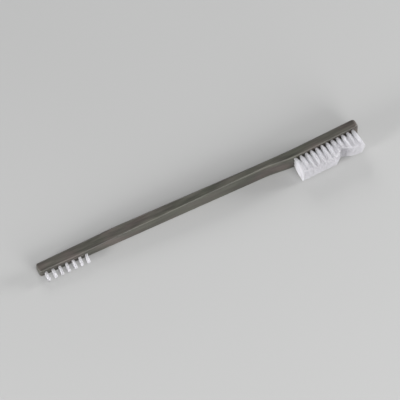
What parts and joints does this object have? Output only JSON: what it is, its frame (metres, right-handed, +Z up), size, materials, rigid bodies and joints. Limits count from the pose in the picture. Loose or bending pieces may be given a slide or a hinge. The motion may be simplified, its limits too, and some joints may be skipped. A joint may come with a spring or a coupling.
{
  "type": "club groove brush",
  "caption": "Double-ended hand brush: a tapered moulded handle with a wide head of long notched bristle tufts and a narrow head with one row of short tufts",
  "frame": {"origin": "middle of the footprint of the brush lying on its side, on the surface that it lies on", "axes": "+X runs along the handle from the narrow head to the wide head, -Y is the way the tufts point, +Z is up, across the handle from its lower side face to its upper one. The lower side face's long straight taper lies level on z = 0, so the handle's middle plane is tilted by 1.35 degrees about Y"},
  "size_m": [0.178, 0.0164, 0.0123],
  "materials": {
    "handle_plastic": "satin moulded olive-grey plastic",
    "nylon": "bundles of white nylon filament with air between them, trimmed ends",
    "anchor_metal": "flat drawn anchor wire"
  },
  "bodies": {
    "root": {"handle": "handle_plastic", "wide_tuft_a01": "nylon", "wide_tuft_a02": "nylon", "wide_tuft_a03": "nylon", "wide_tuft_a04": "nylon", "wide_tuft_a05": "nylon", "wide_tuft_a06": "nylon", "wide_tuft_a07": "nylon", "wide_tuft_a08": "nylon", "wide_tuft_a09": "nylon", "wide_tuft_a10": "nylon", "wide_tuft_a11": "nylon", "wide_tuft_a12": "nylon", "wide_tuft_b01": "nylon", "wide_tuft_b02": "nylon", "wide_tuft_b03": "nylon", "wide_tuft_b04": "nylon", "wide_tuft_b05": "nylon", "wide_tuft_b06": "nylon", "wide_tuft_b07": "nylon", "wide_tuft_b08": "nylon", "wide_tuft_b09": "nylon", "wide_tuft_b10": "nylon", "wide_tuft_b11": "nylon", "wide_tuft_b12": "nylon", "wide_tuft_c01": "nylon", "wide_tuft_c02": "nylon", "wide_tuft_c03": "nylon", "wide_tuft_c04": "nylon", "wide_tuft_c05": "nylon", "wide_tuft_c06": "nylon", "wide_tuft_c07": "nylon", "wide_tuft_c08": "nylon", "wide_tuft_c09": "nylon", "wide_tuft_c10": "nylon", "wide_tuft_c11": "nylon", "wide_tuft_c12": "nylon", "narrow_tuft_1": "nylon", "narrow_tuft_2": "nylon", "narrow_tuft_3": "nylon", "narrow_tuft_4": "nylon", "narrow_tuft_5": "nylon", "narrow_tuft_6": "nylon", "narrow_tuft_7": "nylon", "narrow_anchor_1": "anchor_metal", "narrow_anchor_2": "anchor_metal", "narrow_anchor_3": "anchor_metal", "narrow_anchor_4": "anchor_metal", "narrow_anchor_5": "anchor_metal", "narrow_anchor_6": "anchor_metal", "narrow_anchor_7": "anchor_metal"}
  },
  "joints": []
}
